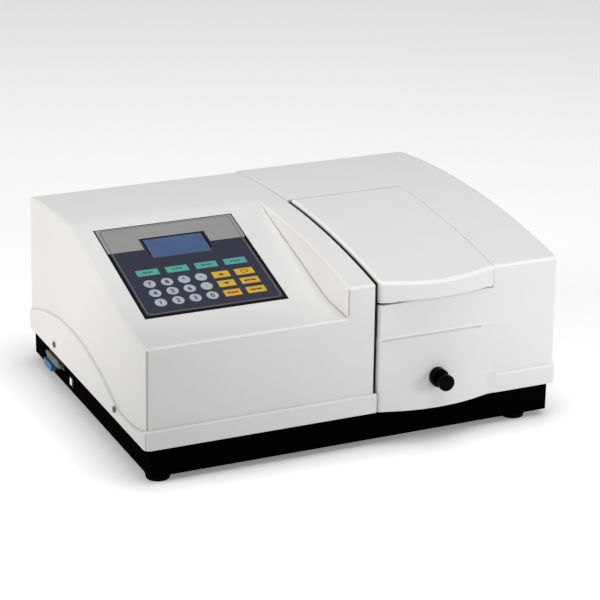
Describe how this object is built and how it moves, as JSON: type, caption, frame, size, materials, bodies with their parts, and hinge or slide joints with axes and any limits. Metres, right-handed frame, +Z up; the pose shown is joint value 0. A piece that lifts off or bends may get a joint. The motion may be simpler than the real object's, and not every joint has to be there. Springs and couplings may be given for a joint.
{
  "type": "spectrophotometer",
  "caption": "Bench spectrophotometer with a sloping keypad deck, a hinged lid over the sample compartment and a pull rod that slides the cuvette carriage.",
  "frame": {"origin": "on the bench under the middle of the bounding box", "axes": "+Z up, +X to the operator's right, -Y towards the operator, who faces the keypad and the pull rod"},
  "size_m": [0.4832, 0.4074, 0.208],
  "materials": {
    "cover_plastic": "satin light grey, fine texture",
    "black_steel": "textured black powder coat",
    "rubber": "matt",
    "screw_steel": "plated",
    "cast_aluminium": "as cast, machined top",
    "foam_rubber": "matt foam",
    "black_anodised": "matt black anodised",
    "lens_glass": "polished quartz",
    "ground_steel": "ground",
    "black_plastic": "satin",
    "lcd": "display glass",
    "overlay_film": "printed polyester film",
    "circuit_board": "solder mask",
    "zinc_plate": "zinc plated",
    "red_plastic": "gloss",
    "blue_plastic": "satin",
    "lamp_house_metal": "bead blasted",
    "lamp_glass": "clear",
    "mirror_coat": "first-surface",
    "dark_paint": "matt",
    "motor_steel": "satin black",
    "grey_key": "printed film",
    "green_key": "printed film",
    "yellow_key": "printed film"
  },
  "bodies": {
    "instrument": {"base_pan": "black_steel", "rubber_feet": "rubber", "case_screws": "screw_steel", "optical_bench": "cast_aluminium", "left_cover": "cover_plastic", "right_cover": "cover_plastic", "hinge_pins": "screw_steel", "sample_box": "black_anodised", "window_lenses": "lens_glass", "guide_rails": "ground_steel", "rod_bush": "black_plastic", "display_module": "lcd", "keypad_overlay": "overlay_film", "keypad_board": "circuit_board", "main_board": "circuit_board", "power_supply": "zinc_plate", "fan_frame": "black_plastic", "inlet_module": "black_plastic", "parallel_port": "zinc_plate", "serial_port": "blue_plastic", "usb_port": "zinc_plate", "lamp_house": "lamp_house_metal", "tungsten_lamp": "lamp_glass", "deuterium_lamp": "lamp_glass", "monochromator_case": "dark_paint", "collimating_mirrors": "mirror_coat", "stepper_motors": "motor_steel", "detector_housing": "dark_paint"},
    "lid": {"lid_shell": "cover_plastic", "lid_seal": "foam_rubber"},
    "cell_carriage": {"cell_block": "black_anodised", "pull_rod": "ground_steel", "rod_knob": "black_plastic"},
    "fan_wheel": {"fan_rotor": "black_plastic"},
    "power_switch": {"power_rocker": "red_plastic"},
    "lamp_selector": {"source_mirror": "mirror_coat"},
    "grating": {"grating_table": "mirror_coat"},
    "filters": {"filter_wheel": "dark_paint"},
    "key_0_body": {"key_0": "grey_key"},
    "key_1_body": {"key_1": "grey_key"},
    "key_2_body": {"key_2": "grey_key"},
    "key_3_body": {"key_3": "grey_key"},
    "key_4_body": {"key_4": "grey_key"},
    "key_5_body": {"key_5": "grey_key"},
    "key_6_body": {"key_6": "grey_key"},
    "key_7_body": {"key_7": "grey_key"},
    "key_8_body": {"key_8": "grey_key"},
    "key_9_body": {"key_9": "grey_key"},
    "key_sign_body": {"key_sign": "grey_key"},
    "key_point_body": {"key_point": "grey_key"},
    "function_key_1_body": {"function_key_1": "green_key"},
    "function_key_2_body": {"function_key_2": "green_key"},
    "function_key_3_body": {"function_key_3": "green_key"},
    "function_key_4_body": {"function_key_4": "green_key"},
    "command_key_1_body": {"command_key_1": "yellow_key"},
    "command_key_2_body": {"command_key_2": "yellow_key"},
    "command_key_3_body": {"command_key_3": "yellow_key"},
    "command_key_4_body": {"command_key_4": "yellow_key"},
    "command_key_5_body": {"command_key_5": "yellow_key"},
    "command_key_6_body": {"command_key_6": "yellow_key"}
  },
  "joints": [
    {"name": "lid_hinge", "type": "hinge", "parent": "instrument", "child": "lid", "pos_m": [0.09, 0.03075, 0.2008], "axis": [-1, 0, 0], "range_deg": [0, 80]},
    {"name": "rod_slide", "type": "slide", "parent": "instrument", "child": "cell_carriage", "axis": [0, -1, 0], "range_m": [0, 0.06]},
    {"name": "fan_spin", "type": "hinge", "parent": "instrument", "child": "fan_wheel", "pos_m": [-0.174, 0.18875, 0.104], "axis": [0, 1, 0], "continuous": true},
    {"name": "power_rock", "type": "hinge", "parent": "instrument", "child": "power_switch", "pos_m": [0.173, 0.19775, 0.0225], "axis": [1, 0, 0], "range_deg": [0, 16]},
    {"name": "lamp_select", "type": "hinge", "parent": "instrument", "child": "lamp_selector", "pos_m": [-0.152, 0.11275, 0.102], "axis": [0, 0, 1], "range_deg": [-145, 0]},
    {"name": "grating_turn", "type": "hinge", "parent": "instrument", "child": "grating", "pos_m": [-0.04, -0.01725, 0.07], "axis": [0, 0, 1], "range_deg": [-25, 25]},
    {"name": "filter_spin", "type": "hinge", "parent": "instrument", "child": "filters", "pos_m": [-0.106, 0.09575, 0.102], "axis": [1, 0, 0], "continuous": true},
    {"name": "key_0_press", "type": "slide", "parent": "instrument", "child": "key_0_body", "axis": [0, 0.2771, -0.9608], "range_m": [0, 0.0004], "stiffness_N_per_m": 200, "springref_m": -0.001},
    {"name": "key_1_press", "type": "slide", "parent": "instrument", "child": "key_1_body", "axis": [0, 0.2771, -0.9608], "range_m": [0, 0.0004], "stiffness_N_per_m": 200, "springref_m": -0.001},
    {"name": "key_2_press", "type": "slide", "parent": "instrument", "child": "key_2_body", "axis": [0, 0.2771, -0.9608], "range_m": [0, 0.0004], "stiffness_N_per_m": 200, "springref_m": -0.001},
    {"name": "key_3_press", "type": "slide", "parent": "instrument", "child": "key_3_body", "axis": [0, 0.2771, -0.9608], "range_m": [0, 0.0004], "stiffness_N_per_m": 200, "springref_m": -0.001},
    {"name": "key_4_press", "type": "slide", "parent": "instrument", "child": "key_4_body", "axis": [0, 0.2771, -0.9608], "range_m": [0, 0.0004], "stiffness_N_per_m": 200, "springref_m": -0.001},
    {"name": "key_5_press", "type": "slide", "parent": "instrument", "child": "key_5_body", "axis": [0, 0.2771, -0.9608], "range_m": [0, 0.0004], "stiffness_N_per_m": 200, "springref_m": -0.001},
    {"name": "key_6_press", "type": "slide", "parent": "instrument", "child": "key_6_body", "axis": [0, 0.2771, -0.9608], "range_m": [0, 0.0004], "stiffness_N_per_m": 200, "springref_m": -0.001},
    {"name": "key_7_press", "type": "slide", "parent": "instrument", "child": "key_7_body", "axis": [0, 0.2771, -0.9608], "range_m": [0, 0.0004], "stiffness_N_per_m": 200, "springref_m": -0.001},
    {"name": "key_8_press", "type": "slide", "parent": "instrument", "child": "key_8_body", "axis": [0, 0.2771, -0.9608], "range_m": [0, 0.0004], "stiffness_N_per_m": 200, "springref_m": -0.001},
    {"name": "key_9_press", "type": "slide", "parent": "instrument", "child": "key_9_body", "axis": [0, 0.2771, -0.9608], "range_m": [0, 0.0004], "stiffness_N_per_m": 200, "springref_m": -0.001},
    {"name": "key_sign_press", "type": "slide", "parent": "instrument", "child": "key_sign_body", "axis": [0, 0.2771, -0.9608], "range_m": [0, 0.0004], "stiffness_N_per_m": 200, "springref_m": -0.001},
    {"name": "key_point_press", "type": "slide", "parent": "instrument", "child": "key_point_body", "axis": [0, 0.2771, -0.9608], "range_m": [0, 0.0004], "stiffness_N_per_m": 200, "springref_m": -0.001},
    {"name": "function_key_1_press", "type": "slide", "parent": "instrument", "child": "function_key_1_body", "axis": [0, 0.2771, -0.9608], "range_m": [0, 0.0004], "stiffness_N_per_m": 200, "springref_m": -0.001},
    {"name": "function_key_2_press", "type": "slide", "parent": "instrument", "child": "function_key_2_body", "axis": [0, 0.2771, -0.9608], "range_m": [0, 0.0004], "stiffness_N_per_m": 200, "springref_m": -0.001},
    {"name": "function_key_3_press", "type": "slide", "parent": "instrument", "child": "function_key_3_body", "axis": [0, 0.2771, -0.9608], "range_m": [0, 0.0004], "stiffness_N_per_m": 200, "springref_m": -0.001},
    {"name": "function_key_4_press", "type": "slide", "parent": "instrument", "child": "function_key_4_body", "axis": [0, 0.2771, -0.9608], "range_m": [0, 0.0004], "stiffness_N_per_m": 200, "springref_m": -0.001},
    {"name": "command_key_1_press", "type": "slide", "parent": "instrument", "child": "command_key_1_body", "axis": [0, 0.2771, -0.9608], "range_m": [0, 0.0004], "stiffness_N_per_m": 200, "springref_m": -0.001},
    {"name": "command_key_2_press", "type": "slide", "parent": "instrument", "child": "command_key_2_body", "axis": [0, 0.2771, -0.9608], "range_m": [0, 0.0004], "stiffness_N_per_m": 200, "springref_m": -0.001},
    {"name": "command_key_3_press", "type": "slide", "parent": "instrument", "child": "command_key_3_body", "axis": [0, 0.2771, -0.9608], "range_m": [0, 0.0004], "stiffness_N_per_m": 200, "springref_m": -0.001},
    {"name": "command_key_4_press", "type": "slide", "parent": "instrument", "child": "command_key_4_body", "axis": [0, 0.2771, -0.9608], "range_m": [0, 0.0004], "stiffness_N_per_m": 200, "springref_m": -0.001},
    {"name": "command_key_5_press", "type": "slide", "parent": "instrument", "child": "command_key_5_body", "axis": [0, 0.2771, -0.9608], "range_m": [0, 0.0004], "stiffness_N_per_m": 200, "springref_m": -0.001},
    {"name": "command_key_6_press", "type": "slide", "parent": "instrument", "child": "command_key_6_body", "axis": [0, 0.2771, -0.9608], "range_m": [0, 0.0004], "stiffness_N_per_m": 200, "springref_m": -0.001}
  ]
}
